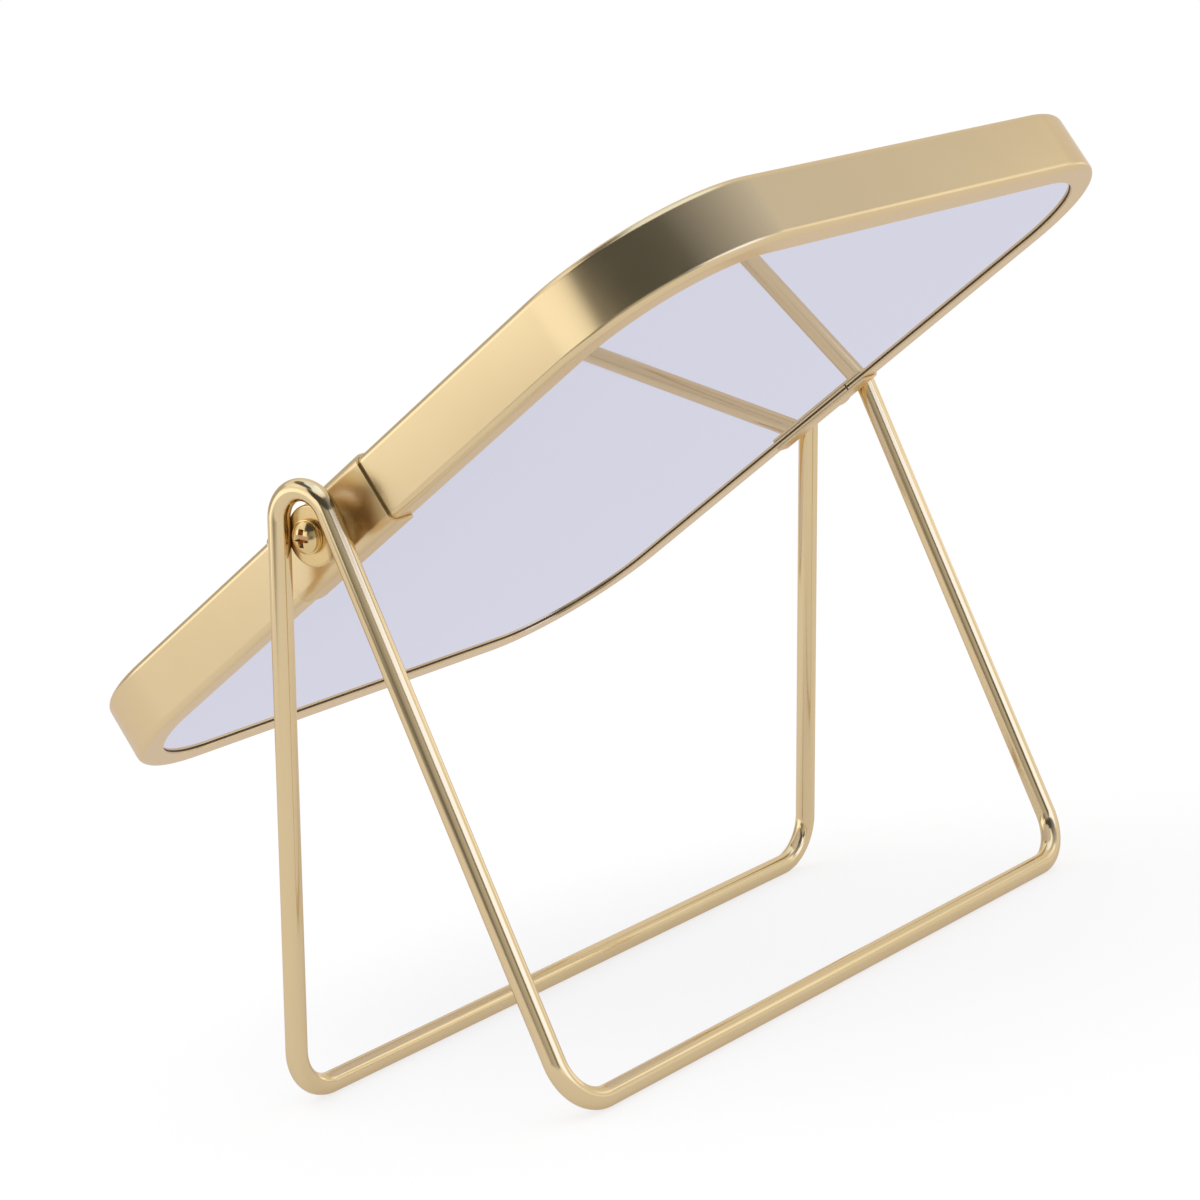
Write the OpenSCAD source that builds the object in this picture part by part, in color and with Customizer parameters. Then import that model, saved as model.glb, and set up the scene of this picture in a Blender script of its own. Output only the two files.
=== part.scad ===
// Tabletop vanity mirror: a framed mirror that tilts between the sides of a bent-wire stand.
// The origin lies on the table below the middle of the mirror. X runs along the tilt axis, the
// front of the mirror faces -Y and down, and +Z is up. All lengths are in millimetres.

/* [Mirror] */
// Width of the framed mirror, along the tilt axis
mirror_w = 150; // [110:1:220]
// Height of the framed mirror, across the tilt axis
mirror_h = 180; // [140:1:260]
// Outer corner radius of the frame
corner_r = 30; // [12:0.5:50]
// Angle between the glass and the table in the pose shown
tilt = 27.8; // [0:0.1:90]
// How far the tilt axis lies below the middle of the mirror
axis_below = 2; // [0:0.1:6]

/* [Frame strip] */
// Thickness of the folded strip
sheet_t = 0.5; // [0.4:0.05:0.8]
// Width of the lip over the front of the glass
lip_front = 5.1; // [4:0.1:9]
// Width of the lip over the back panel
lip_back = 5; // [4:0.1:9]
// Outer radius of the strip's two long folds
fold_r = 1.3; // [1:0.1:2]
// Width of the seam where the ends of the strip meet
seam_gap = 0.3; // [0.1:0.05:0.5]
// Distance of the seam from the tilt axis, towards the top of the mirror
seam_up = 9.2; // [8:0.1:10]

/* [Glass and back] */
// Thickness of the dark strip between lip and glass
gasket_t = 0.15; // [0.1:0.05:0.6]
// Thickness of the silvered glass
glass_t = 2; // [1.8:0.1:3]
// Thickness of the foam behind the glass
foam_t = 1.5; // [0.8:0.1:2.5]
// Thickness of the backing board
board_t = 4.85; // [3:0.05:6]
// Thickness of the back panel
panel_t = 3; // [2:0.1:4]
// Gap between the strip's folds and the edges of the layers inside it
edge_gap = 0.15; // [0.15:0.05:0.5]

/* [Joint plate] */
// Thickness of the plate behind the seam
joint_t = 0.5; // [0.3:0.05:0.6]
// Length of the plate behind the seam
joint_l = 9; // [6:0.5:11]
// Width of the plate behind the seam
joint_w = 7; // [4:0.5:7.5]

/* [Hinge clip] */
// Thickness of the clip
clip_t = 0.5; // [0.4:0.05:0.8]
// Length of the clip along the frame's side
clip_l = 27.6; // [26:0.1:40]
// Radius of the lower corners of the clip's flaps
clip_corner_r = 1.2; // [0.5:0.1:5]
// Gap between the clip and the strip
clip_gap = 0.05; // [0.02:0.01:0.15]

/* [Hinge stack] */
// Diameter of the screw's shank
screw_d = 3; // [2.5:0.1:3.4]
// Length of the screw's shank
screw_l = 8; // [7.5:0.1:9]
// Diameter of the screw's pan head
head_d = 5.7; // [5:0.1:7]
// Height of the screw's pan head
head_h = 1.5; // [1.3:0.1:2.4]
// Height of the straight side of the screw's head
head_side_h = 0.5; // [0.3:0.1:0.8]
// Span of the cross recess in the screw's head
recess_span = 4; // [2.8:0.1:4.2]
// Width of one arm of the cross recess
recess_w = 1.2; // [0.6:0.05:1.3]
// Depth of the cross recess
recess_depth = 1; // [0.8:0.1:1.3]
// Angle between the cross recess and the glass
recess_turn = 45; // [0:1:89]
// Outer diameter of the split spring washer
spring_washer_d = 6.2; // [5.6:0.1:7]
// Thickness of the split spring washer
spring_washer_t = 0.8; // [0.4:0.05:1]
// Width of the slit in the spring washer
washer_slit = 0.5; // [0.3:0.1:0.8]
// Outer diameter of the friction washer
friction_washer_d = 7; // [6:0.1:9]
// Thickness of the friction washer
friction_washer_t = 1; // [0.6:0.1:2]
// Diameter of the bush where it passes through clip and strip
bush_d = 5; // [4.4:0.1:5.4]
// Diameter of the bush's outer collar
collar_d = 7.4; // [6.4:0.1:9]
// Thickness of the bush's outer collar
collar_t = 1.9; // [0.8:0.1:3]
// Diameter of the bush's riveted inner end
rivet_d = 5.8; // [5.7:0.05:6]
// Thickness of the bush's riveted inner end
rivet_t = 0.9; // [0.5:0.1:1.1]
// Gap on each side of a washer
washer_gap = 0.05; // [0.02:0.01:0.1]
// Radial gap round the screw in the pivot plate, a running fit
pivot_gap = 0.05; // [0.02:0.01:0.09]
// Radial gap round the screw in the bush and the washers
screw_gap = 0.03; // [0.02:0.01:0.08]
// Radial gap round the bush in the clip and the strip
bush_gap = 0.03; // [0.02:0.01:0.08]
// Gap round the hinge stack where the boards are notched
notch_gap = 0.4; // [0.2:0.1:1]

/* [Stand] */
// Diameter of the wire
wire_d = 4; // [3:0.1:5]
// Clearance between the table and the mirror's edge when the mirror hangs straight down
floor_clear = 11.1; // [6:0.1:30]
// Horizontal distance from the middle of the hairpin to the back rail
back_foot = 28.1; // [20:0.1:50]
// Horizontal distance from the middle of the hairpin to the front rail
front_foot = 36.3; // [20:0.1:50]
// Bend radius of each hairpin, at the middle of the wire
hairpin_r = 6; // [5.6:0.1:8]
// Height of the hairpin's bend centre above the tilt axis
hairpin_rise = 2.3; // [0.5:0.1:3]
// How far the middle of the hairpin lies in front of the tilt axis
hairpin_ahead = 0.5; // [0:0.1:0.8]
// Bend radius between legs and rails, at the middle of the wire
foot_r = 9; // [5:0.5:16]
// How much the wire's radius shrinks in its bends, where bending stretches it
bend_thinning = 0.01; // [0.005:0.005:0.05]
// Thickness of the pivot plate
plate_t = 1.5; // [1:0.1:1.9]
// How far the plate's rim reaches under the wire
plate_bite = 1.5; // [0.8:0.1:1.9]
// How far the plate's outer face lies behind the middle of the wire
plate_inset = 0.95; // [0.3:0.05:1.2]
// Gap between the plate and the wire that it is brazed to
braze_gap = 0.03; // [0.02:0.01:0.06]

/* [Hidden] */
$fn = 64;

// Colours
gold = [0.85, 0.74, 0.54];
bright_gold = [0.92, 0.82, 0.6];
glass_tint = [0.84, 0.84, 0.88];
dark_strip = [0.12, 0.11, 0.1];
nylon_white = [0.9, 0.9, 0.87];
foam_grey = [0.5, 0.5, 0.52];
board_brown = [0.55, 0.43, 0.3];

// The layers from the front lip to the back lip fill the channel, and set its depth
frame_d = 2 * sheet_t + gasket_t + glass_t + foam_t + board_t + panel_t;
front_face = frame_d / 2;
glass_front = front_face - sheet_t - gasket_t;
foam_front = glass_front - glass_t;
board_front = foam_front - foam_t;
panel_front = board_front - board_t;

// How far the edges of these layers lie inside the frame's outside
layer_inset = fold_r + edge_gap;

// Distances from the middle plane along X, outwards through one hinge
frame_side = mirror_w / 2;
wall_inside = frame_side - sheet_t;
clip_outside = frame_side + clip_gap + clip_t;
collar_outside = clip_outside + collar_t;
friction_inside = collar_outside + washer_gap;
plate_inside = friction_inside + friction_washer_t + washer_gap;
plate_outside = plate_inside + plate_t;
spring_inside = plate_outside + washer_gap;
head_seat = spring_inside + spring_washer_t;
wire_plane = plate_outside + plate_inset;
screw_tip = head_seat - screw_l;

// The tilt axis
pivot_y = axis_below * cos(tilt);
pivot_z = mirror_h / 2 + axis_below + floor_clear;

// The stand's side, seen along X: a hairpin bend with a tangent leg down to each rail
wire_r = wire_d / 2;
bend_y = pivot_y - hairpin_ahead;
bend_z = pivot_z + hairpin_rise;
leg_drop = bend_z - wire_r;
back_reach = norm([back_foot, leg_drop]);
front_reach = norm([front_foot, leg_drop]);
back_lean = atan(back_foot / leg_drop) - asin(hairpin_r / back_reach);
front_lean = atan(front_foot / leg_drop) - asin(hairpin_r / front_reach);
back_leg = sqrt(pow(back_reach, 2) - pow(hairpin_r, 2)) - foot_r;
front_leg = sqrt(pow(front_reach, 2) - pow(hairpin_r, 2)) - foot_r;
plate_r = hairpin_r - wire_r + plate_bite;

// How far a cut passes through a face
cut = 1;
// How far a straight stretch of wire reaches into the bend that follows it
join = 0.05;

// Places its children in the tilted mirror: X along the axis, Y up the glass, Z out of its face,
// with the origin on the tilt axis
module tilted() {
    translate([0, pivot_y, pivot_z])
        rotate([180 - tilt, 0, 0])
            children();
}

// Turns children drawn along +Z to lie along +X
module along_x() {
    rotate([0, 90, 0])
        children();
}

// Draws children for the right side, or mirrored for the left
module on_side(left) {
    mirror([left ? 1 : 0, 0, 0])
        children();
}

// A flat outline with rounded corners
module rounded_outline(w, h, r) {
    square([w - 2 * r, h], center = true);
    square([w, h - 2 * r], center = true);
    for (x = [-1, 1], y = [-1, 1])
        translate([x * (w / 2 - r), y * (h / 2 - r)])
            circle(r = r);
}

// A plate with rounded corners between two heights, centred on the mirror
module mirror_layer(inset, back, thickness) {
    translate([0, axis_below, back])
        linear_extrude(height = thickness)
            rounded_outline(mirror_w - 2 * inset, mirror_h - 2 * inset, corner_r - inset);
}

// A rectangle from x = 0 to x = w, centred in y, whose corners at x = w are rounded
module side_outline(w, d, r) {
    translate([0, -d / 2])
        square([w - r, d]);
    translate([0, r - d / 2])
        square([w, d - 2 * r]);
    for (y = [-1, 1])
        translate([w - r, y * (d / 2 - r)])
            circle(r = r);
}

// Section of a folded channel: the wall's outside is at x = outside, the lips reach inwards
module channel_section(outside, depth, thickness, radius, front, back) {
    difference() {
        side_outline(outside, depth, radius);
        side_outline(outside - thickness, depth - 2 * thickness, radius - thickness);
        translate([-cut, 0])
            square([outside - front + cut, depth]);
        translate([-cut, -depth - cut])
            square([outside - back + cut, depth + cut]);
    }
}

module frame_section() {
    channel_section(corner_r, frame_d, sheet_t, fold_r, lip_front, lip_back);
}

// One straight side of the frame strip and the corner after it
module frame_side_and_corner(half_w, half_h) {
    translate([half_w - corner_r, half_h - corner_r, 0]) {
        rotate([90, 0, 0])
            linear_extrude(height = 2 * (half_h - corner_r))
                frame_section();
        rotate_extrude(angle = 90)
            frame_section();
    }
}

module frame_loop() {
    translate([0, axis_below, 0])
        for (turn = [0, 180]) {
            rotate([0, 0, turn])
                frame_side_and_corner(mirror_w / 2, mirror_h / 2);
            rotate([0, 0, turn + 90])
                frame_side_and_corner(mirror_h / 2, mirror_w / 2);
        }
}

// A round hole along the tilt axis through one side of the mirror
module axis_hole(r) {
    translate([wall_inside - cut, 0, 0])
        along_x()
            cylinder(r = r, h = clip_outside - wall_inside + 2 * cut);
}

module frame_rim() {
    color(gold)
        tilted()
            difference() {
                frame_loop();
                for (left = [true, false])
                    on_side(left)
                        axis_hole(bush_d / 2 + bush_gap);
                translate([frame_side - lip_front - cut, seam_up - seam_gap / 2, -frame_d])
                    cube([lip_front + 2 * cut, seam_gap, 2 * frame_d]);
            }
}

module joint_plate() {
    color(gold)
        tilted()
            translate([wall_inside - joint_t, seam_up - joint_l / 2, foam_front - joint_w])
                cube([joint_t, joint_l, joint_w]);
}

module lip_gasket() {
    color(dark_strip)
        tilted()
            difference() {
                mirror_layer(layer_inset, glass_front, gasket_t);
                mirror_layer(lip_front, glass_front - cut, gasket_t + 2 * cut);
            }
}

module mirror_glass() {
    color(glass_tint)
        tilted()
            mirror_layer(layer_inset, foam_front, glass_t);
}

// Room for the riveted end of each bush and the tip of its screw
module hinge_notches() {
    notch = rivet_d + 2 * notch_gap;
    for (left = [true, false])
        on_side(left)
            translate([screw_tip - notch_gap, -notch / 2, -frame_d / 2])
                cube([screw_l, notch, frame_d]);
}

// One board behind the glass, notched at both hinges
module board(back, thickness) {
    difference() {
        mirror_layer(layer_inset, back, thickness);
        hinge_notches();
    }
}

module foam_sheet() {
    color(foam_grey)
        tilted()
            board(board_front, foam_t);
}

module backing_board() {
    color(board_brown)
        tilted()
            board(panel_front, board_t);
}

module back_panel() {
    color(gold)
        tilted()
            board(panel_front - panel_t, panel_t);
}

// Outline of a clip seen from the front, with the lower inner corner rounded
module clip_outline() {
    inner = frame_side - max(lip_front, lip_back);
    difference() {
        translate([inner, -clip_l / 2])
            square([clip_outside - inner, clip_l]);
        difference() {
            translate([inner - cut, -clip_l / 2 - cut])
                square([clip_corner_r + cut, clip_corner_r + cut]);
            translate([inner + clip_corner_r, clip_corner_r - clip_l / 2])
                circle(r = clip_corner_r);
        }
    }
}

module hinge_clip(left) {
    wrap = clip_gap + clip_t;
    color(gold)
        tilted()
            on_side(left)
                difference() {
                    intersection() {
                        translate([frame_side - corner_r, clip_l / 2, 0])
                            rotate([90, 0, 0])
                                linear_extrude(height = clip_l)
                                    channel_section(corner_r + wrap, frame_d + 2 * wrap, clip_t,
                                        fold_r + wrap, lip_front + wrap, lip_back + wrap);
                        translate([0, 0, -frame_d])
                            linear_extrude(height = 2 * frame_d)
                                clip_outline();
                    }
                    axis_hole(bush_d / 2 + bush_gap);
                }
}

// A ring round the tilt axis between two distances from the middle plane
module ring(inside, thickness, outer_d, hole_r) {
    translate([inside, 0, 0])
        along_x()
            difference() {
                cylinder(d = outer_d, h = thickness);
                translate([0, 0, -cut])
                    cylinder(r = hole_r, h = thickness + 2 * cut);
            }
}

module threaded_bush(left) {
    rivet_inside = wall_inside - rivet_t;
    color(gold)
        tilted()
            on_side(left)
                translate([rivet_inside, 0, 0])
                    along_x()
                        difference() {
                            union() {
                                cylinder(d = rivet_d, h = rivet_t);
                                cylinder(d = bush_d, h = collar_outside - rivet_inside);
                                translate([0, 0, clip_outside - rivet_inside])
                                    cylinder(d = collar_d, h = collar_t);
                            }
                            translate([0, 0, -cut])
                                cylinder(r = screw_d / 2 + screw_gap,
                                    h = collar_outside - rivet_inside + 2 * cut);
                        }
}

module friction_washer(left) {
    color(nylon_white)
        tilted()
            on_side(left)
                ring(friction_inside, friction_washer_t, friction_washer_d, screw_d / 2 + screw_gap);
}

module spring_washer(left) {
    color(bright_gold)
        tilted()
            on_side(left)
                difference() {
                    ring(spring_inside, spring_washer_t, spring_washer_d, screw_d / 2 + screw_gap);
                    translate([spring_inside - cut, -spring_washer_d, -washer_slit / 2])
                        cube([spring_washer_t + 2 * cut, spring_washer_d, washer_slit]);
                }
}

// Pan head: a straight side with a shallow dome on it
module pan_head() {
    rise = head_h - head_side_h;
    dome_r = (pow(head_d / 2, 2) + pow(rise, 2)) / (2 * rise);
    cylinder(d = head_d, h = head_side_h);
    intersection() {
        translate([0, 0, head_h - dome_r])
            sphere(r = dome_r);
        cylinder(d = head_d, h = head_h);
    }
}

module cross_recess() {
    for (turn = [0, 90])
        rotate([0, 0, turn + recess_turn])
            translate([-recess_span / 2, -recess_w / 2, head_h - recess_depth])
                cube([recess_span, recess_w, recess_depth + cut]);
}

module pivot_screw(left) {
    tip_bevel = screw_d / 6;
    color(bright_gold)
        tilted()
            on_side(left)
                translate([head_seat, 0, 0])
                    along_x() {
                        difference() {
                            pan_head();
                            cross_recess();
                        }
                        translate([0, 0, tip_bevel - screw_l])
                            cylinder(d = screw_d, h = screw_l - tip_bevel);
                        translate([0, 0, -screw_l])
                            cylinder(r1 = screw_d / 2 - tip_bevel, r2 = screw_d / 2, h = tip_bevel);
                    }
}

// One leg and the bend at its foot, with the foot's corner at the origin and the rail along -X
module leg_and_foot(length, r) {
    translate([0, 0, foot_r - join])
        cylinder(r = r, h = length + 2 * join);
    translate([-foot_r, 0, foot_r])
        rotate([90, 0, 0])
            rotate([0, 0, -90])
                rotate_extrude(angle = 90)
                    translate([foot_r, 0])
                        circle(r = r - bend_thinning);
}

// The right side of the stand, with a wire of radius r
module stand_side(r) {
    translate([wire_plane, bend_y + back_foot, wire_r])
        rotate([back_lean, 0, 0])
            leg_and_foot(back_leg, r);
    translate([wire_plane, bend_y - front_foot, wire_r])
        rotate([-front_lean, 0, 0])
            leg_and_foot(front_leg, r);
    translate([wire_plane, bend_y, bend_z])
        rotate([90, 0, 90])
            rotate([0, 0, back_lean])
                rotate_extrude(angle = 180 - back_lean - front_lean)
                    translate([hairpin_r, 0])
                        circle(r = r - bend_thinning);
}

module rail(y) {
    half = wire_plane - foot_r + join;
    translate([-half, y, wire_r])
        along_x()
            cylinder(r = wire_r, h = 2 * half);
}

module stand_wire() {
    color(gold) {
        for (left = [true, false])
            on_side(left)
                stand_side(wire_r);
        rail(bend_y + back_foot);
        rail(bend_y - front_foot);
    }
}

module pivot_plate(left) {
    color(gold)
        on_side(left)
            difference() {
                translate([plate_inside, bend_y, pivot_z])
                    along_x()
                        cylinder(r = plate_r, h = plate_t);
                translate([plate_inside - cut, pivot_y, pivot_z])
                    along_x()
                        cylinder(r = screw_d / 2 + pivot_gap, h = plate_t + 2 * cut);
                stand_side(wire_r + braze_gap);
            }
}

stand_wire();
pivot_plate(true);  // pivot_plate_left
pivot_plate(false);  // pivot_plate_right
pivot_screw(true);  // pivot_screw_left
pivot_screw(false);  // pivot_screw_right
spring_washer(true);  // spring_washer_left
spring_washer(false);  // spring_washer_right
friction_washer(true);  // friction_washer_left
friction_washer(false);  // friction_washer_right
threaded_bush(true);  // threaded_bush_left
threaded_bush(false);  // threaded_bush_right
hinge_clip(true);  // hinge_clip_left
hinge_clip(false);  // hinge_clip_right
frame_rim();
joint_plate();
lip_gasket();
mirror_glass();
foam_sheet();
backing_board();
back_panel();
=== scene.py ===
"""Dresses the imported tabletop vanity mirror: satin gold metalwork, silvered glass, soft studio light.

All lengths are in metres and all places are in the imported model's frame: X along the tilt axis,
the glass facing -Y and down, Z up, the origin on the table under the middle of the mirror.
"""

from __future__ import annotations

import logging
import math
from dataclasses import dataclass, field
from enum import Enum
from typing import Any, Callable, ClassVar, Mapping, Sequence

import bmesh
import bpy
from mathutils import Matrix, Vector

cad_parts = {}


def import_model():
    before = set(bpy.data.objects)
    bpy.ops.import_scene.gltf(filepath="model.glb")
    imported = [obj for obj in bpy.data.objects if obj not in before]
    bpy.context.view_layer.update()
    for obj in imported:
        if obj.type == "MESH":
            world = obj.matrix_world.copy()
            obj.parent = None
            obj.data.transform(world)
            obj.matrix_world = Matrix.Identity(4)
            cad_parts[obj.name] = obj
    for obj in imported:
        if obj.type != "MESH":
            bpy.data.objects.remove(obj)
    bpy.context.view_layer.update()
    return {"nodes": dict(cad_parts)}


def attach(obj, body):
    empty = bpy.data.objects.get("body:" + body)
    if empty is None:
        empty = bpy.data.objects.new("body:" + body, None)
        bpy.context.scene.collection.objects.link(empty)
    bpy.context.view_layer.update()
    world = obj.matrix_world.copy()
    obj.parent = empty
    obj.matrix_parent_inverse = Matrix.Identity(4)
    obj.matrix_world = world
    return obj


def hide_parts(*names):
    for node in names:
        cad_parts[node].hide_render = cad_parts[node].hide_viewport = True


log = logging.getLogger("vanity_mirror")

MM = 0.001
MICRON = 0.001 * MM
DOUBLES = 0.01 * MICRON
SHARP_EDGE = math.radians(42)
Point = tuple[float, float]
Corner = tuple[float, float, float]
Place = tuple[float, float, float]


class Body(Enum):
    """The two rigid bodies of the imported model."""

    STAND = "stand"
    MIRROR = "mirror"


class Side(Enum):
    """A hinge's side, with the sign of its X."""

    LEFT = -1
    RIGHT = 1

    def node(self, stem: str) -> str:
        """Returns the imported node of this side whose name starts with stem."""
        return f"{stem}_{self.name.lower()}"


# Nodes, meshes and modifiers.


def linear(colour: str) -> tuple[float, float, float, float]:
    """Turns an sRGB colour into the linear values that shaders take.

    Args:
        colour: The colour as #RRGGBB.

    Returns:
        Red, green, blue and an alpha of 1.
    """
    channels = [int(colour[start : start + 2], 16) / 255 for start in (1, 3, 5)]
    red, green, blue = (
        c / 12.92 if c <= 0.04045 else ((c + 0.055) / 1.055) ** 2.4 for c in channels
    )
    return red, green, blue, 1.0


def add_node(
    tree: bpy.types.NodeTree,
    kind: str,
    inputs: Mapping[str | int, Any] | None = None,
    **settings: Any,
) -> bpy.types.Node:
    """Adds a node with its settings, values and links.

    Args:
        tree: The tree that takes the node.
        kind: The node's type, as Blender names it.
        inputs: Input sockets by name or number, each with a value or with the socket that feeds it.
        **settings: The node's own properties.

    Returns:
        The new node.
    """
    node = tree.nodes.new(kind)
    for name, value in settings.items():
        setattr(node, name, value)
    for key, value in (inputs or {}).items():
        if isinstance(value, bpy.types.NodeSocket):
            tree.links.new(value, node.inputs[key])
        else:
            node.inputs[key].default_value = value
    return node


def new_piece(title: str, mesh: bpy.types.Mesh) -> bpy.types.Object:
    """Links a mesh into the scene.

    Args:
        title: The object's name.
        mesh: Its mesh.

    Returns:
        The new object.
    """
    piece = bpy.data.objects.new(title, mesh)
    bpy.context.scene.collection.objects.link(piece)
    return piece


def settle(piece: bpy.types.Object) -> None:
    """Turns a piece's modifiers into plain mesh.

    Args:
        piece: The piece, which has no modifier left afterwards.
    """
    graph = bpy.context.evaluated_depsgraph_get()
    shaped = piece.evaluated_get(graph)
    mesh = bpy.data.meshes.new_from_object(shaped, preserve_all_data_layers=True, depsgraph=graph)
    mesh.name = piece.name
    piece.modifiers.clear()
    piece.data = mesh


def close_outwards(mesh: bpy.types.Mesh) -> None:
    """Merges a mesh's doubles and turns its faces outwards.

    Args:
        mesh: The mesh.
    """
    work = bmesh.new()
    work.from_mesh(mesh)
    bmesh.ops.remove_doubles(work, verts=work.verts, dist=DOUBLES)
    bmesh.ops.recalc_face_normals(work, faces=work.faces)
    work.to_mesh(mesh)
    work.free()


def shade(piece: bpy.types.Object) -> None:
    """Shades a piece smoothly between its sharp edges, with flat faces kept flat.

    Args:
        piece: The piece.
    """
    piece.data.shade_smooth()
    piece.data.set_sharp_from_angle(angle=SHARP_EDGE)
    piece.modifiers.new("flat faces", "WEIGHTED_NORMAL").keep_sharp = True
    settle(piece)


def mesh_of(
    title: str, points: Sequence[Vector], faces: Sequence[Sequence[int]]
) -> bpy.types.Mesh:
    """Makes a closed mesh whose faces point outwards.

    Args:
        title: The mesh's name.
        points: The vertices.
        faces: Each face's vertex numbers.

    Returns:
        The mesh.
    """
    mesh = bpy.data.meshes.new(title)
    mesh.from_pydata(points, [], faces)
    close_outwards(mesh)
    return mesh


def rounded_outline(corners: Sequence[Corner], steps: int) -> list[Point]:
    """Rounds each corner of a closed outline by its own radius.

    Args:
        corners: Each corner's two coordinates and its radius.
        steps: How many straight steps make each arc.

    Returns:
        The outline's points.
    """
    outline: list[Point] = []
    for index, (x, y, radius) in enumerate(corners):
        here = Vector((x, y))
        before = (Vector(corners[index - 1][:2]) - here).normalized()
        after = (Vector(corners[(index + 1) % len(corners)][:2]) - here).normalized()
        half = before.angle(after) / 2
        if radius <= 0:
            outline.append((x, y))
            continue
        centre = here + (before + after).normalized() * radius / math.sin(half)
        first = here + before * radius / math.tan(half) - centre
        last = here + after * radius / math.tan(half) - centre
        start = math.atan2(first.y, first.x)
        turn = (math.atan2(last.y, last.x) - start + math.pi) % math.tau - math.pi
        for step in range(steps + 1):
            angle = start + turn * step / steps
            outline.append(
                (centre.x + radius * math.cos(angle), centre.y + radius * math.sin(angle))
            )
    return outline


def lathe(
    title: str, outline: Sequence[Point], segments: int = 72, slit: float = 0.0
) -> bpy.types.Mesh:
    """Turns a closed outline of radius and height round the Z axis.

    Args:
        title: The mesh's name.
        outline: The points, as radius and height. A point of radius 0 becomes a pole.
        segments: Steps of a full turn.
        slit: The angle that is left open, centred on -Y.

    Returns:
        The turned mesh.
    """
    open_turn = slit > 0
    rings = segments + 1 if open_turn else segments
    start = (slit - math.pi) / 2
    points = [
        Vector((radius * math.cos(angle), radius * math.sin(angle), height))
        for angle in (start + (math.tau - slit) * ring / segments for ring in range(rings))
        for radius, height in outline
    ]
    size = len(outline)
    faces: list[Sequence[int]] = []
    for ring in range(segments):
        here, there = ring * size, (ring + 1) % rings * size
        for index in range(size):
            after = (index + 1) % size
            if outline[index][0] > 0 or outline[after][0] > 0:
                faces.append((here + index, here + after, there + after, there + index))
    if open_turn:
        faces += [range(size), range((rings - 1) * size, rings * size)]
    return mesh_of(title, points, faces)


def loft(title: str, levels: Sequence[Sequence[Vector]]) -> bpy.types.Mesh:
    """Joins closed outlines of equal length, one above the other, into a closed mesh.

    Args:
        title: The mesh's name.
        levels: The outlines from one end to the other.

    Returns:
        The mesh, with both ends closed.
    """
    size = len(levels[0])
    points = [point for level in levels for point in level]
    faces: list[Sequence[int]] = [range(size), range(len(points) - size, len(points))]
    for row in range(len(levels) - 1):
        for index in range(size):
            low, high = row * size, (row + 1) * size
            after = (index + 1) % size
            faces.append((low + index, low + after, high + after, high + index))
    return mesh_of(title, points, faces)


# Geometry Nodes trees.


class ShapeTree:
    """A Geometry Nodes tree with named inputs for its sizes."""

    GEOMETRY = "NodeSocketGeometry"

    def __init__(self, title: str, sizes: Mapping[str, str]) -> None:
        """Starts a tree.

        Args:
            title: The tree's name.
            sizes: The name and the socket type of each input after the geometry.
        """
        self.tree = bpy.data.node_groups.new(title, "GeometryNodeTree")
        face = self.tree.interface
        face.new_socket("Geometry", in_out="INPUT", socket_type=self.GEOMETRY)
        for name, kind in sizes.items():
            face.new_socket(name, in_out="INPUT", socket_type=kind)
        face.new_socket("Material", in_out="INPUT", socket_type="NodeSocketMaterial")
        face.new_socket("Geometry", in_out="OUTPUT", socket_type=self.GEOMETRY)
        self.given = add_node(self.tree, "NodeGroupInput").outputs

    def add(self, kind: str, inputs: Mapping[str | int, Any], **settings: Any) -> Any:
        """Adds a node and returns its output sockets."""
        return add_node(self.tree, kind, inputs, **settings).outputs

    def end(self, geometry: bpy.types.NodeSocket) -> None:
        """Ends the tree: makes instances real and sets the material.

        Args:
            geometry: The socket that holds the finished shape.
        """
        real = self.add("GeometryNodeRealizeInstances", {"Geometry": geometry})
        dressed = self.add(
            "GeometryNodeSetMaterial",
            {"Geometry": real["Geometry"], "Material": self.given["Material"]},
        )
        add_node(self.tree, "NodeGroupOutput", {"Geometry": dressed["Geometry"]})

    def bake(
        self, title: str, mesh: bpy.types.Mesh, sizes: Mapping[str, Any]
    ) -> bpy.types.Object:
        """Runs the tree on a mesh and keeps the result as plain mesh.

        Args:
            title: The piece's name.
            mesh: The geometry that goes in.
            sizes: The value of each named input.

        Returns:
            The finished piece, with no modifier left on it.
        """
        piece = new_piece(title, mesh)
        modifier = piece.modifiers.new("shape", "NODES")
        modifier.node_group = self.tree
        for item in self.tree.interface.items_tree:
            if item.in_out == "INPUT" and item.name in sizes:
                modifier[item.identifier] = sizes[item.name]
        settle(piece)
        close_outwards(piece.data)
        return piece


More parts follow.
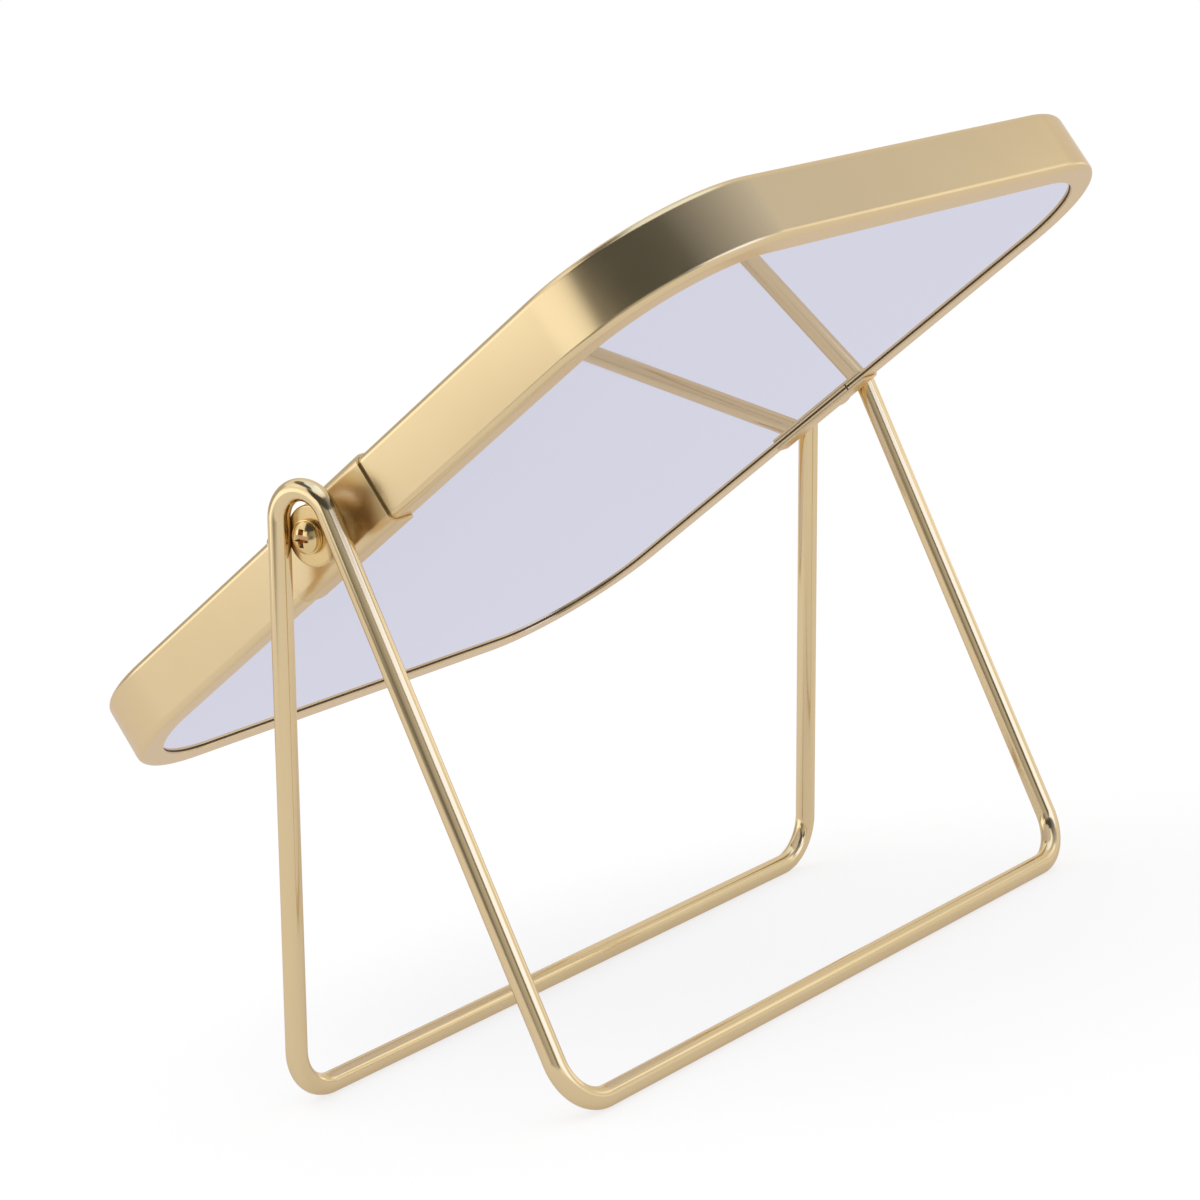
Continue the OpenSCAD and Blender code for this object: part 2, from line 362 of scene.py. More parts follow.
class BentSweep(ShapeTree):
    """Sweeps a section along a path of straight lines, with a bend of its own radius at each point."""

    BEND = "bend_radius"

    def __init__(self) -> None:
        """Builds the tree."""
        super().__init__(
            "section swept along a bent path",
            {"Section": "NodeSocketObject", "Bend Steps": "NodeSocketInt"},
        )
        path = self.add("GeometryNodeMeshToCurve", {"Mesh": self.given["Geometry"]})
        radius = self.add("GeometryNodeInputNamedAttribute", {"Name": self.BEND})
        bent = self.add(
            "GeometryNodeFilletCurve",
            {
                "Curve": path["Curve"],
                "Count": self.given["Bend Steps"],
                "Radius": radius["Attribute"],
                "Limit Radius": True,
            },
            mode="POLY",
        )
        section = self.add("GeometryNodeObjectInfo", {"Object": self.given["Section"]})
        outline = self.add("GeometryNodeMeshToCurve", {"Mesh": section["Geometry"]})
        swept = self.add(
            "GeometryNodeCurveToMesh",
            {"Curve": bent["Curve"], "Profile Curve": outline["Curve"], "Fill Caps": True},
        )
        self.end(swept["Mesh"])

    def sweep(
        self,
        title: str,
        path: Sequence[Place],
        bends: Sequence[float],
        closed: bool,
        section: Sequence[Point],
        steps: int,
        material: bpy.types.Material,
    ) -> bpy.types.Object:
        """Sweeps a closed section along a path.

        Args:
            title: The piece's name.
            path: The path's corners.
            bends: The bend radius at each corner, 0 at an open end.
            closed: Whether the path joins up.
            section: The section's points, X outwards from the path and Y along its normal.
            steps: Steps in each bend.
            material: The piece's material.

        Returns:
            The finished piece.
        """
        line = bpy.data.meshes.new(title)
        count = len(path)
        edges = [(index, (index + 1) % count) for index in range(count if closed else count - 1)]
        line.from_pydata(path, edges, [])
        line.attributes.new(self.BEND, "FLOAT", "POINT").data.foreach_set("value", bends)
        outline = bpy.data.meshes.new("section")
        size = len(section)
        outline.from_pydata(
            [(x, y, 0.0) for x, y in section],
            [(index, (index + 1) % size) for index in range(size)],
            [],
        )
        guide = new_piece("section", outline)
        piece = self.bake(
            title, line, {"Section": guide, "Bend Steps": steps, "Material": material}
        )
        bpy.data.objects.remove(guide)
        return piece


class BothHinges(ShapeTree):
    """Sets a turned part on both ends of the tilt axis, its +Z outwards."""

    def __init__(self) -> None:
        """Builds the tree."""
        super().__init__("part at both hinges", {"Distance": "NodeSocketFloat"})
        low = self.add(
            "ShaderNodeMath", {0: self.given["Distance"], 1: -1.0}, operation="MULTIPLY"
        )
        span = self.add(
            "ShaderNodeMath", {0: self.given["Distance"], 1: 2.0}, operation="MULTIPLY"
        )
        start = self.add("ShaderNodeCombineXYZ", {"X": low["Value"]})
        offset = self.add("ShaderNodeCombineXYZ", {"X": span["Value"]})
        ends = self.add(
            "GeometryNodeMeshLine",
            {"Count": 2, "Start Location": start["Vector"], "Offset": offset["Vector"]},
            mode="OFFSET",
        )
        place = self.add("GeometryNodeInputPosition", {})
        turn = self.add(
            "FunctionNodeAlignRotationToVector", {"Vector": place["Position"]}, axis="Z"
        )
        set_out = self.add(
            "GeometryNodeInstanceOnPoints",
            {
                "Points": ends["Mesh"],
                "Instance": self.given["Geometry"],
                "Rotation": turn["Rotation"],
            },
        )
        self.end(set_out["Instances"])


# Finishes.


@dataclass(frozen=True)
class Finish:
    """A real surface finish, made as a procedural material on object coordinates."""

    NOISE_RANGE: ClassVar[Point] = (0.3, 0.7)
    CLOUDS_TO_PATCH: ClassVar[float] = 2.5

    title: str
    colour: str
    tone: str
    roughness: float
    roughness_spread: float = 0.03
    metallic: float = 0.0
    grain: float = 0.25 * MM
    relief: float = 0.5 * MICRON
    patch: float = 14 * MM

    def build(self) -> bpy.types.Material:
        """Builds the material.

        Returns:
            A material with its grain, its patches of tone and its small relief.
        """
        material = bpy.data.materials.new(self.title)
        material.use_nodes = True
        tree = material.node_tree
        tree.nodes.clear()
        place = add_node(tree, "ShaderNodeTexCoord").outputs["Object"]
        surface = add_node(
            tree,
            "ShaderNodeBsdfPrincipled",
            {
                "Metallic": self.metallic,
                "Base Color": self.colouring(tree, place),
                "Roughness": self.polish(tree, place),
                "Normal": self.texture(tree, place),
            },
        )
        self.finish_surface(surface)
        add_node(
            tree, "ShaderNodeOutputMaterial", {"Surface": surface.outputs["BSDF"]}
        )
        return material

    def colouring(
        self, tree: bpy.types.NodeTree, place: bpy.types.NodeSocket
    ) -> bpy.types.NodeSocket:
        """Mixes the colour with its second tone in soft patches.

        Args:
            tree: The material's tree.
            place: The object coordinates.

        Returns:
            The colour socket.
        """
        patches = add_node(
            tree,
            "ShaderNodeTexNoise",
            {"Vector": place, "Scale": 1 / self.patch, "Detail": 3.0},
        )
        mix = add_node(
            tree,
            "ShaderNodeMix",
            {
                "Factor": patches.outputs[0],
                "A": linear(self.colour),
                "B": linear(self.tone),
            },
            data_type="RGBA",
        )
        return mix.outputs["Result"]

    def polish(
        self, tree: bpy.types.NodeTree, place: bpy.types.NodeSocket
    ) -> bpy.types.NodeSocket:
        """Varies the roughness a little over the surface.

        Args:
            tree: The material's tree.
            place: The object coordinates.

        Returns:
            The roughness socket.
        """
        cloud = add_node(
            tree,
            "ShaderNodeTexNoise",
            {"Vector": place, "Scale": self.CLOUDS_TO_PATCH / self.patch, "Detail": 4.0},
        )
        spread = add_node(
            tree,
            "ShaderNodeMapRange",
            {
                "Value": cloud.outputs[0],
                "From Min": self.NOISE_RANGE[0],
                "From Max": self.NOISE_RANGE[1],
                "To Min": self.roughness - self.roughness_spread,
                "To Max": self.roughness + self.roughness_spread,
            },
        )
        return spread.outputs["Result"]

    def texture(
        self, tree: bpy.types.NodeTree, place: bpy.types.NodeSocket
    ) -> bpy.types.NodeSocket:
        """Raises the grain by its relief.

        Args:
            tree: The material's tree.
            place: The object coordinates.

        Returns:
            The normal's socket.
        """
        grain = add_node(
            tree,
            "ShaderNodeTexNoise",
            {"Vector": place, "Scale": 1 / self.grain, "Detail": 2.0},
        )
        bump = add_node(
            tree,
            "ShaderNodeBump",
            {"Height": grain.outputs[0], "Distance": self.relief, "Strength": 1.0},
        )
        return bump.outputs["Normal"]

    def finish_surface(self, surface: bpy.types.Node) -> None:
        """Sets what only some finishes have on the shader: nothing, on a plain one."""


@dataclass(frozen=True)
class Plated(Finish):
    """Metal plating, which keeps some of its own colour where it is seen at a flat angle."""

    metallic: float = 1.0
    flat_angle: str = "#F2E9E1"

    def finish_surface(self, surface: bpy.types.Node) -> None:
        """Sets the colour at a flat angle."""
        surface.inputs["Specular Tint"].default_value = linear(self.flat_angle)


@dataclass(frozen=True)
class TintedAndShaded(Plated):
    """Plating that turns brown where the mesh's own attribute says so: heat tint on the plates, and
    painted shade along the wire and in the screws' recesses.
    """

    ATTRIBUTE: ClassVar[str] = "tarnish"
    brown: str = "#6A4826"

    def colouring(
        self, tree: bpy.types.NodeTree, place: bpy.types.NodeSocket
    ) -> bpy.types.NodeSocket:
        """Mixes the plating's colour with its brown.

        Args:
            tree: The material's tree.
            place: The object coordinates.

        Returns:
            The colour socket.
        """
        share = add_node(tree, "ShaderNodeAttribute", attribute_name=self.ATTRIBUTE)
        mix = add_node(
            tree,
            "ShaderNodeMix",
            {
                "Factor": share.outputs["Fac"],
                "A": super().colouring(tree, place),
                "B": linear(self.brown),
            },
            data_type="RGBA",
        )
        return mix.outputs["Result"]

    @classmethod
    def mark(cls, mesh: bpy.types.Mesh, share: Callable[[Vector], float]) -> None:
        """Marks a mesh's points with how brown they are.

        Args:
            mesh: The mesh.
            share: Gives the share of brown, from 0 to 1, at a place.
        """
        values = [share(vertex.co) for vertex in mesh.vertices]
        mesh.attributes.new(cls.ATTRIBUTE, "FLOAT", "POINT").data.foreach_set("value", values)


@dataclass(frozen=True)
class Board(Finish):
    """Pressed board, whose fibres lie along one direction."""

    stretch: float = 12.0

    def texture(
        self, tree: bpy.types.NodeTree, place: bpy.types.NodeSocket
    ) -> bpy.types.NodeSocket:
        """Raises long fibres.

        Args:
            tree: The material's tree.
            place: The object coordinates.

        Returns:
            The normal's socket.
        """
        along = add_node(
            tree,
            "ShaderNodeMapping",
            {"Vector": place, "Scale": (1 / self.stretch, 1.0, 1.0)},
        )
        return super().texture(tree, along.outputs["Vector"])


class Coat(Enum):
    """Every finish on the mirror."""

    # Satin gold plating: blasted steel under a thin champagne-gold layer, so reflections spread
    # softly and edges still catch a clean line of light.
    SATIN_GOLD = Plated(
        "satin gold plating",
        colour="#E9D1A4",
        tone="#E6CD9E",
        roughness=0.23,
        roughness_spread=0.01,
        grain=0.5 * MM,
        relief=0.15 * MICRON,
    )
    # The stand's wire has the same plating over drawn wire, which is smoother than the strip, so
    # reflections along it have crisper edges.
    PLATED_WIRE = Plated(
        "satin gold plated wire",
        colour="#E9D1A4",
        tone="#E6CD9E",
        roughness=0.14,
        roughness_spread=0.01,
        grain=0.5 * MM,
        relief=0.1 * MICRON,
    )
    # The clips have the same plating over sheet that was pressed after blasting, so it blurs what
    # it mirrors more than the strip does.
    CLIP_GOLD = Plated(
        "satin gold plated clip",
        colour="#E9D1A4",
        tone="#E6CD9E",
        roughness=0.31,
        roughness_spread=0.01,
        grain=0.5 * MM,
        relief=0.15 * MICRON,
    )
    # The pivot plates are brazed to the wire; the brown along the seam is partly heat tint from the
    # braze and partly painted shade where plate and wire meet.
    BRAZED_GOLD = TintedAndShaded(
        "heat-tinted gold plating",
        colour="#E2C690",
        tone="#DCBE86",
        roughness=0.24,
        grain=0.3 * MM,
        relief=0.3 * MICRON,
        patch=2 * MM,
    )
    # Bright gold plating on the screws and spring washers: tumbled, not blasted, so it mirrors.
    # The screws' recesses are painted brown as shade, darker with their depth.
    BRIGHT_GOLD = TintedAndShaded(
        "bright gold plating",
        colour="#E8CD98",
        tone="#E2C48A",
        roughness=0.13,
        roughness_spread=0.03,
        grain=0.2 * MM,
        relief=0.15 * MICRON,
        patch=2 * MM,
        brown="#C09A70",
    )
    # Turned brass bushes: warm, with fine marks of the lathe too small to see from a step away.
    BUSH_BRASS = Plated(
        "turned brass",
        colour="#D9BE86",
        tone="#CDAF73",
        roughness=0.24,
        grain=0.2 * MM,
        relief=0.3 * MICRON,
        patch=2 * MM,
    )
    # Zinc-plated steel behind the seam: a grey, slightly clouded metal.
    ZINC = Plated(
        "zinc-plated steel",
        colour="#C3C6C8",
        tone="#A9ADB0",
        roughness=0.35,
        grain=0.3 * MM,
        relief=0.4 * MICRON,
        patch=4 * MM,
    )
    # Silvered float glass, seen from its face: a clean mirror with the faint blue-grey of a
    # thin silver layer, and a trace of dust that softens it here and there.
    SILVERED_GLASS = Plated(
        "silvered float glass",
        colour="#EBEBF4",
        tone="#ECECF5",
        flat_angle="#F4F4FA",
        roughness=0.02,
        roughness_spread=0.012,
        grain=40 * MM,
        relief=0.4 * MICRON,
        patch=45 * MM,
    )
    # Natural nylon washers: a milky, slightly translucent white with a soft gloss.
    NYLON = Finish(
        "natural nylon", colour="#E4E1D6", tone="#D8D5C8", roughness=0.42, patch=3 * MM
    )
    # Dark brown strip between lip and glass, matt: partly a real rubber strip, partly painted shade in
    # the gap under the lip, and its brown a painted reflection of the gold lip, so that it reads as a
    # thin dark line.
    RUBBER = Finish(
        "dark brown rubber", colour="#584422", tone="#644E2A", roughness=0.8, patch=5 * MM
    )
    # Closed-cell foam behind the glass: grey, matt, with fine open cells at its cut edges.
    FOAM = Finish(
        "closed-cell foam",
        colour="#5C5C60",
        tone="#4C4C50",
        roughness=0.9,
        grain=0.6 * MM,
        relief=30 * MICRON,
    )
    # Pressed board: brown wood fibre, matt, with fibres that lie flat.
    PRESSED_BOARD = Board(
        "pressed board",
        colour="#8A6A48",
        tone="#775A3C",
        roughness=0.85,
        grain=0.4 * MM,
        relief=12 * MICRON,
    )
    # Satin gold paint on the back panel: fine orange peel over the board, a softer gloss than
    # the plated metal round it.
    GOLD_PAINT = Finish(
        "satin gold paint",
        colour="#CDB68C",
        tone="#C5AD81",
        roughness=0.46,
        roughness_spread=0.04,
        metallic=0.75,
        grain=0.9 * MM,
        relief=3 * MICRON,
    )


# Sub-assemblies.


class Slot(Enum):
    """The record's material slots of the built pieces' finishes, which fit takes but does not use."""

    SATIN_GOLD = "satin_gold"
    BRIGHT_GOLD = "bright_gold"
    BUSH_BRASS = "bush_brass"
    NYLON = "nylon"


@dataclass(frozen=True)
class TiltAxis:
    """The axis that the mirror tilts on, and the mirror's own axes in the pose shown."""

    tilt: float = math.radians(27.8)
    axis_below: float = 2.0 * MM
    height: float = 103.1 * MM

    def offset(self) -> float:
        """Returns how far the axis lies behind the origin on the table."""
        return self.axis_below * math.cos(self.tilt)

    def matrix(self) -> Matrix:
        """Returns the turn and place from the mirror's own axes: X along the axis, Y up the glass."""
        place = Vector((0.0, self.offset(), self.height))
        return Matrix.Translation(place) @ Matrix.Rotation(math.pi - self.tilt, 4, "X")


@dataclass(frozen=True)
class StripSizes:
    """The folded strip round the mirror, which the clips and bushes fit."""

    width: float = 150.0 * MM
    height: float = 180.0 * MM
    depth: float = 12.5 * MM
    sheet_t: float = 0.5 * MM
    lip_front: float = 5.1 * MM
    lip_back: float = 5.0 * MM
    fold_r: float = 1.3 * MM
    edge_r: float = 0.12 * MM


@dataclass(frozen=True)
class HingeStack:
    """What is stacked on the tilt axis at a hinge, from the strip outwards."""

    strip: StripSizes = field(default_factory=StripSizes)
    clip_gap: float = 0.05 * MM
    clip_t: float = 0.5 * MM
    rivet_t: float = 0.9 * MM
    collar_t: float = 1.9 * MM
    friction_t: float = 1.0 * MM
    plate_t: float = 1.5 * MM
    spring_t: float = 0.8 * MM
    running_gap: float = 0.05 * MM

    def bush_inside(self) -> float:
        """Returns how far from the middle of the mirror the bush's riveted end lies."""
        return self.strip.width / 2 - self.strip.sheet_t - self.rivet_t

    def clip_outside(self) -> float:
        """Returns how far from the middle of the mirror the clip's outer face lies."""
        return self.strip.width / 2 + self.clip_gap + self.clip_t

    def friction_inside(self) -> float:
        """Returns how far from the middle of the mirror the friction washer starts."""
        return self.clip_outside() + self.collar_t + self.running_gap

    def plate_inside(self) -> float:
        """Returns how far from the middle of the mirror the pivot plate starts."""
        return self.friction_inside() + self.friction_t + self.running_gap

    def spring_inside(self) -> float:
        """Returns how far from the middle of the mirror the spring washer starts."""
        return self.plate_inside() + self.plate_t + self.running_gap

    def head_seat(self) -> float:
        """Returns how far from the middle of the mirror the screw's head is seated."""
        return self.spring_inside() + self.spring_t


@dataclass
class SubAssembly:
    """A group of pieces, with the built finishes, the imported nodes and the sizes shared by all."""

    coats: Mapping[Coat, bpy.types.Material]
    nodes: Mapping[str, bpy.types.Object]
    axis: TiltAxis = field(default_factory=TiltAxis)
    stack: HingeStack = field(default_factory=HingeStack)

    def dress(self, node: str, coat: Coat) -> None:
        """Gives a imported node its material.

        Args:
            node: The node's name.
            coat: Its finish.
        """
        for slot in self.nodes[node].material_slots:
            slot.material = self.coats[coat]
        log.info("%s wears %s", node, coat.value.title)

    def fit(
        self, piece: bpy.types.Object, body: Body, slot: Slot, replaced: Sequence[str]
    ) -> None:
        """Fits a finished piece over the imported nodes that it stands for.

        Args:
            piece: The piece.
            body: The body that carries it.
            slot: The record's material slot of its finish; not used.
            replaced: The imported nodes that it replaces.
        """
        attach(piece, body.value)
        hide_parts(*replaced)
        log.info("%s: %d faces, replaces %s", piece.name, len(piece.data.polygons), replaced)


@dataclass
class WireStand(SubAssembly):
    """The stand: one bent wire with its two pivot plates."""

    wire_d: float = 4.0 * MM
    back_foot: float = 28.1 * MM
    front_foot: float = 36.3 * MM
    foot_r: float = 9.0 * MM
    hairpin_r: float = 6.0 * MM
    hairpin_rise: float = 2.3 * MM
    hairpin_ahead: float = 0.5 * MM
    plate_bite: float = 1.5 * MM
    plate_inset: float = 0.95 * MM
    plate_hole_d: float = 3.1 * MM
    plate_edge: float = 0.25 * MM
    hole_edge: float = 0.05 * MM
    # Where the plates' brown, heat tint with painted shade, starts and where it is full.
    brown_from: float = 3.0 * MM
    brown_full: float = 4.6 * MM
    plate_rings: int = 8
    edge_steps: int = 5
    bend_steps: int = 40
    round_steps: int = 40

    def build(self, sweep: BentSweep, hinges: BothHinges) -> None:
        """Builds the wire and the plates.

        Args:
            sweep: The tree that bends the wire.
            hinges: The tree that sets a part at both hinges.
        """
        self.build_wire(sweep)
        self.build_plates(hinges)

    def build_wire(self, sweep: BentSweep) -> None:
        """Bends the wire: a hairpin on each side, two feet under each, and a rail front and back.

        Args:
            sweep: The tree that bends the wire.
        """
        low = self.wire_d / 2
        plane = self.stack.plate_inside() + self.stack.plate_t + self.plate_inset
        middle = self.axis.offset() - self.hairpin_ahead
        back, front = middle + self.back_foot, middle - self.front_foot
        back_slope, front_slope = (
            math.tan(self.leg_lean(foot)) for foot in (self.back_foot, self.front_foot)
        )
        rise = (back - front) / (back_slope + front_slope)
        top = (front + rise * front_slope, low + rise)
        side = [((back, low), self.foot_r), (top, self.hairpin_r), ((front, low), self.foot_r)]
        path, bends = [], []
        for sign, run in ((1, side), (-1, side[::-1])):
            path += [(sign * plane, y, z) for (y, z), _ in run]
            bends += [radius for _, radius in run]
        round_wire = [
            (low * math.cos(angle), low * math.sin(angle))
            for angle in (math.tau * step / self.round_steps for step in range(self.round_steps))
        ]
        wire = sweep.sweep(
            "bent_wire",
            path,
            bends,
            closed=True,
            section=round_wire,
            steps=self.bend_steps,
            material=self.coats[Coat.PLATED_WIRE],
        )
        shade(wire)
        self.fit(wire, Body.STAND, Slot.SATIN_GOLD, ["stand_wire"])

    def leg_lean(self, foot: float) -> float:
        """Returns how far a leg leans from upright, when its rail lies this far from the hairpin."""
        drop = self.axis.height + self.hairpin_rise - self.wire_d / 2
        return math.atan2(foot, drop) - math.asin(self.hairpin_r / math.hypot(foot, drop))

    def build_plates(self, hinges: BothHinges) -> None:
        """Turns the pivot plates, which bite into the wire and are brown along the braze, partly heat
        tint and partly painted shade.

        Args:
            hinges: The tree that sets a part at both hinges.
        """
        hole, thick = self.plate_hole_d / 2, self.stack.plate_t
        rim = self.hairpin_r - self.wire_d / 2 + self.plate_bite
        rings = [
            hole + (rim - hole) * step / self.plate_rings for step in range(1, self.plate_rings)
        ]
        outline = rounded_outline(
            [
                (hole, 0.0, self.hole_edge),
                (rim, 0.0, self.plate_edge),
                (rim, thick, self.plate_edge),
                *[(ring, thick, 0.0) for ring in reversed(rings)],
                (hole, thick, self.hole_edge),
            ],
            self.edge_steps,
        )
        plate = lathe("plate", outline)
        TintedAndShaded.mark(plate, self.braze_tint_and_shade)
        for vertex in plate.vertices:
            reach = vertex.co.to_2d().length
            vertex.co.y -= self.hairpin_ahead * (reach - hole) / (rim - hole)
        plates = hinges.bake(
            "pivot_plates",
            plate,
            {"Distance": self.stack.plate_inside(), "Material": self.coats[Coat.BRAZED_GOLD]},
        )
        plates.data.transform(Matrix.Translation((0.0, self.axis.offset(), self.axis.height)))
        shade(plates)
        self.fit(
            plates, Body.STAND, Slot.SATIN_GOLD, [side.node("pivot_plate") for side in Side]
        )

    def braze_tint_and_shade(self, place: Vector) -> float:
        """Returns how brown a plate is at a place, on its outer face and towards the two legs: heat
        tint with painted shade along the wire.

        Args:
            place: A point on the plate, whose inner face is at height 0.

        Returns:
            The share of brown.
        """
        if place.z <= self.stack.plate_t - 2 * self.plate_edge:
            return 0.0
        return (abs(place.y) - self.brown_from) / (self.brown_full - self.brown_from)


@dataclass
class MirrorFrame(SubAssembly):
    """The folded strip round the mirror, with the plate behind its seam."""

    corner_r: float = 30.0 * MM
    seam_gap: float = 0.3 * MM
    seam_up: float = 9.2 * MM
    bend_steps: int = 56
    fold_steps: int = 8

    def section(self) -> list[Point]:
        """Draws the strip's section.

        Returns:
            Its outline, X outwards from the strip's outside and Y towards the back.
        """
        strip = self.stack.strip
        half, wall, edge = strip.depth / 2, strip.sheet_t, strip.edge_r
        inner = strip.fold_r - wall
        corners = [
            (-strip.lip_back, half, edge),
            (0.0, half, strip.fold_r),
            (0.0, -half, strip.fold_r),
            (-strip.lip_front, -half, edge),
            (-strip.lip_front, wall - half, edge),
            (-wall, wall - half, inner),
            (-wall, half - wall, inner),
            (-strip.lip_back, half - wall, edge),
        ]
        return rounded_outline(corners, self.fold_steps)

    def build(self, sweep: BentSweep) -> None:
        """Sweeps the strip from one side of its seam to the other.

        Args:
            sweep: The tree that bends the strip.
        """
        x, y = self.stack.strip.width / 2, self.stack.strip.height / 2
        low, high = self.axis.axis_below - y, self.axis.axis_below + y
        above, below = (self.seam_up + half * self.seam_gap / 2 for half in (1, -1))
        path = [
            (x, above, 0.0),
            (x, high, 0.0),
            (-x, high, 0.0),
            (-x, low, 0.0),
            (x, low, 0.0),
            (x, below, 0.0),
        ]
        strip = sweep.sweep(
            "frame_strip",
            path,
            bends=[0.0, *[self.corner_r] * 4, 0.0],
            closed=False,
            section=self.section(),
            steps=self.bend_steps,
            material=self.coats[Coat.SATIN_GOLD],
        )
        strip.data.transform(self.axis.matrix())
        shade(strip)
        self.fit(strip, Body.MIRROR, Slot.SATIN_GOLD, ["frame_rim"])
        self.dress("joint_plate", Coat.ZINC)


@dataclass
class HingeClips(SubAssembly):
    """The two folded clips that wrap the strip at the hinges."""

    clip_l: float = 27.6 * MM
    corner_r: float = 1.2 * MM
    corner_rows: int = 14
    plain_rows: int = 8
    flap_steps: int = 8
    fold_steps: int = 10
    wall_steps: int = 6
    edge_segments: int = 3
    edge_angle: float = math.radians(50)

    def row(self, along: float) -> list[Point]:
        """Returns the clip's outside in one cross-section.

        Args:
            along: The section's place along the clip, from its middle.

        Returns:
            Points from the front flap's edge round to the back flap's, as X and height.
        """
        strip, wrap = self.stack.strip, self.stack.clip_gap + self.stack.clip_t
        outside, half = self.stack.clip_outside(), strip.depth / 2 + wrap
        radius = strip.fold_r + wrap
        flat_end, low = outside - radius, half - radius
        drop = max(0.0, self.corner_r - (along + self.clip_l / 2))
        cut = self.corner_r - math.sqrt(max(0.0, self.corner_r**2 - drop**2))
        front = min(strip.width / 2 - strip.lip_front + cut, flat_end - strip.edge_r)
        back = min(max(strip.width / 2 - strip.lip_back, front), flat_end - strip.edge_r)
        front_flap = [
            (front + (flat_end - front) * step / self.flap_steps, half)
            for step in range(self.flap_steps)
        ]
        fold = [
            (flat_end + radius * math.cos(angle), low + radius * math.sin(angle))
            for angle in (
                math.pi / 2 * (1 - step / self.fold_steps) for step in range(self.fold_steps + 1)
            )
        ]
        wall = [
            (outside, low - 2 * low * step / self.wall_steps)
            for step in range(1, self.wall_steps)
        ]
        back_flap = [
            (flat_end + (back - flat_end) * step / self.flap_steps, -half)
            for step in range(1, self.flap_steps + 1)
        ]
        return front_flap + fold + wall + [(x, -z) for x, z in reversed(fold)] + back_flap

    def build(self) -> None:
        """Folds both clips."""
        start, end = -self.clip_l / 2, self.clip_l / 2
        bend = start + self.corner_r
        rows = [
            bend - self.corner_r * math.sin(math.pi / 2 * (1 - step / self.corner_rows))
            for step in range(self.corner_rows)
        ]
        rows += [
            bend + (end - bend) * step / self.plain_rows for step in range(self.plain_rows + 1)
        ]
        for side in Side:
            self.build_clip(side, rows)

    def build_clip(self, side: Side, rows: Sequence[float]) -> None:
        """Folds one clip.

        Args:
            side: The hinge's side.
            rows: The places of its cross-sections.
        """
        sections = [self.row(along) for along in rows]
        size = len(sections[0])
        points = [
            Vector((side.value * x, along, z))
            for along, section in zip(rows, sections)
            for x, z in section
        ]
        faces = []
        for row in range(len(rows) - 1):
            for index in range(size - 1):
                low, high = row * size + index, (row + 1) * size + index
                quad = (low, low + 1, high + 1, high)
                faces.append(quad[::-1] if side is Side.LEFT else quad)
        mesh = bpy.data.meshes.new("clip")
        mesh.from_pydata(points, [], faces)
        clip = new_piece(side.node("folded_clip"), mesh)
        mesh.materials.append(self.coats[Coat.CLIP_GOLD])
        wall = clip.modifiers.new("sheet", "SOLIDIFY")
        wall.thickness = self.stack.clip_t
        wall.offset = -1.0
        wall.use_even_offset = True
        edge = clip.modifiers.new("edge", "BEVEL")
        edge.width = self.stack.strip.edge_r
        edge.segments = self.edge_segments
        edge.limit_method = "ANGLE"
        edge.angle_limit = self.edge_angle
        settle(clip)
        close_outwards(clip.data)
        clip.data.transform(self.axis.matrix())
        shade(clip)
        self.fit(clip, Body.MIRROR, Slot.SATIN_GOLD, [side.node("hinge_clip")])


